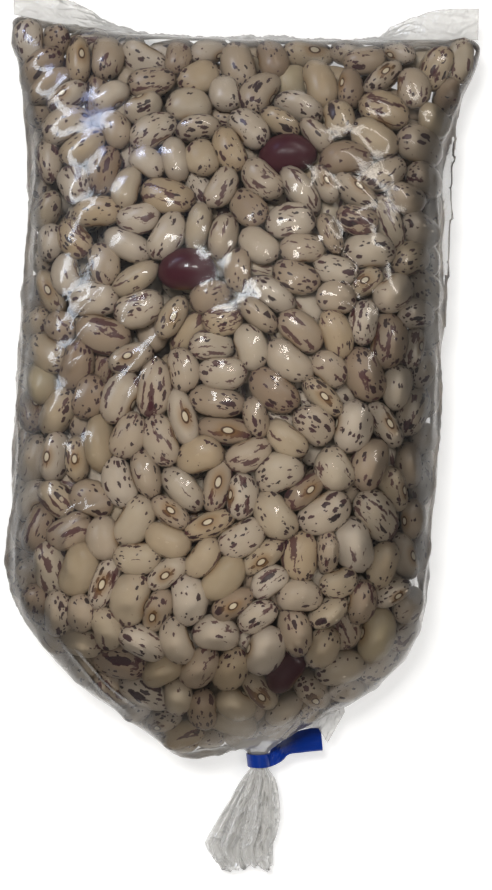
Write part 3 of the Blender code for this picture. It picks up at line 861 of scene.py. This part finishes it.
def blue_tape():
    """Printed-through polypropylene tape: deep even blue, glossy, with faint lengthwise stretch marks."""
    material, tree, surface = new_material("blue polypropylene tape")
    place = add(tree, "ShaderNodeTexCoord").outputs["Object"]
    length_way = add(tree, "ShaderNodeMapping", Vector=place, Scale=(0.25, 1.0, 1.0))
    marks = add(tree, "ShaderNodeTexNoise", Vector=length_way.outputs[0], Scale=900.0, Detail=3.0)
    shade = add(tree, "ShaderNodeMix", {"data_type": "RGBA"},
                _0=marks.outputs[0], _6=linear("#082C82"), _7=linear("#0C3CA4"))
    relief = add(tree, "ShaderNodeBump", Strength=0.25, Distance=0.15 * MM, Height=marks.outputs[0])
    film = add(tree, "ShaderNodeBsdfPrincipled", Base_Color=shade.outputs[2], Normal=relief.outputs[0])
    film.inputs["Roughness"].default_value = 0.3
    tree.links.new(film.outputs[0], surface)
    return material


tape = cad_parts["closing_tape"]
tape.data.materials.clear()
tape.data.materials.append(blue_tape())

# ---------------------------------------------------------------------------------------------------
# Stage: pale floor, soft light from above, camera straight above the shown side

FLOOR_SIZE, FLOOR_LIFT = 3.0, 0.5
CAMERA_HEIGHT = 0.57  # above the floor
VIEW_LENGTH = 0.2759  # what the camera takes in along the bag, at half the bag's height
VIEW_OFFSET = -4.8 * MM  # towards the neck

bpy.ops.object.select_all(action="DESELECT")
bpy.ops.mesh.primitive_plane_add(size=FLOOR_SIZE, location=(0, 0, 0))
floor = bpy.context.object
floor.name = "floor"
floor_paint, tree, surface = new_material("white studio floor")
rays = add(tree, "ShaderNodeLightPath")
seen = rays.outputs["Is Camera Ray"]
for kind in ("Is Glossy Ray", "Is Transmission Ray"):
    seen = add(tree, "ShaderNodeMath", {"operation": "MAXIMUM"}, _0=seen, _1=rays.outputs[kind]).outputs[0]
matt = add(tree, "ShaderNodeBsdfDiffuse", Color=(0.8, 0.8, 0.8, 1.0))
lift = add(tree, "ShaderNodeMath", {"operation": "MULTIPLY"}, _0=seen, _1=FLOOR_LIFT)
glow = add(tree, "ShaderNodeEmission", Color=(1.0, 1.0, 1.0, 1.0), Strength=lift.outputs[0])
both = add(tree, "ShaderNodeAddShader", _0=matt.outputs[0], _1=glow.outputs[0])
tree.links.new(both.outputs[0], surface)
floor.data.materials.append(floor_paint)

world = bpy.data.worlds.new("studio")
bpy.context.scene.world = world
world.use_nodes = True
sky = world.node_tree
direction = add(sky, "ShaderNodeSeparateXYZ", _0=add(sky, "ShaderNodeTexCoord").outputs["Generated"])
walls = add(sky, "ShaderNodeMapRange", _0=direction.outputs[2], _1=0.0, _2=0.55, _3=0.42, _4=0.08)
sky.links.new(walls.outputs[0], sky.nodes["Background"].inputs["Strength"])
sky.nodes["Background"].inputs["Color"].default_value = (1.0, 1.0, 1.0, 1.0)


def lamp(name, place, size, power, colour, lights=True, mirrored=True):
    """A soft light at a place, turned towards the bag, its long side level, to light it or be mirrored."""
    data = bpy.data.lights.new(name, "AREA")
    data.shape, (data.size, data.size_y) = "RECTANGLE", size
    data.energy, data.color = power, colour
    made = bpy.data.objects.new(name, data)
    made.location = place
    made.rotation_euler = (-Vector(place)).to_track_quat("-Z", "Y").to_euler()
    made.visible_diffuse, made.visible_glossy = lights, mirrored
    bpy.context.scene.collection.objects.link(made)


lamp("softbox", (-0.24, 0.34, 1.0), (0.3, 0.3), 5.5, (1.0, 0.975, 0.94), mirrored=False)
lamp("low softbox", (0.10, -0.50, 0.90), (0.4, 0.4), 2.3, (1.0, 0.96, 0.90), mirrored=False)
lamp("window", (-0.80, 0.62, 0.72), (1.2, 0.17), 7.0, (0.84, 0.91, 1.0), lights=False)
lamp("right window", (0.60, 0.60, 0.85), (1.0, 0.07), 2.4, (1.0, 0.97, 0.92), lights=False)
lamp("sky", (-0.55, 1.0, 0.8), (0.3, 0.3), 1.6, (0.40, 0.52, 1.0), lights=False)
lamp("left ceiling lamp", (-0.12, 0.50, 1.4), (0.2, 0.14), 1.6, (0.95, 0.98, 1.0))
lamp("right ceiling lamp", (0.26, 0.36, 1.4), (0.14, 0.14), 1.2, (1.0, 0.97, 0.92))

middle = (Vector(cad_box[0]) + Vector(cad_box[1])) / 2
camera = bpy.data.objects.new("camera", bpy.data.cameras.new("camera"))
camera.location = (middle.x, middle.y + VIEW_OFFSET, CAMERA_HEIGHT)
camera.data.sensor_fit = "VERTICAL"
camera.data.lens = camera.data.sensor_height * (CAMERA_HEIGHT - middle.z) / VIEW_LENGTH
bpy.context.scene.collection.objects.link(camera)
bpy.context.scene.camera = camera
bpy.context.scene.view_settings.view_transform = "Standard"
bpy.context.scene.cycles.transparent_max_bounces = 24
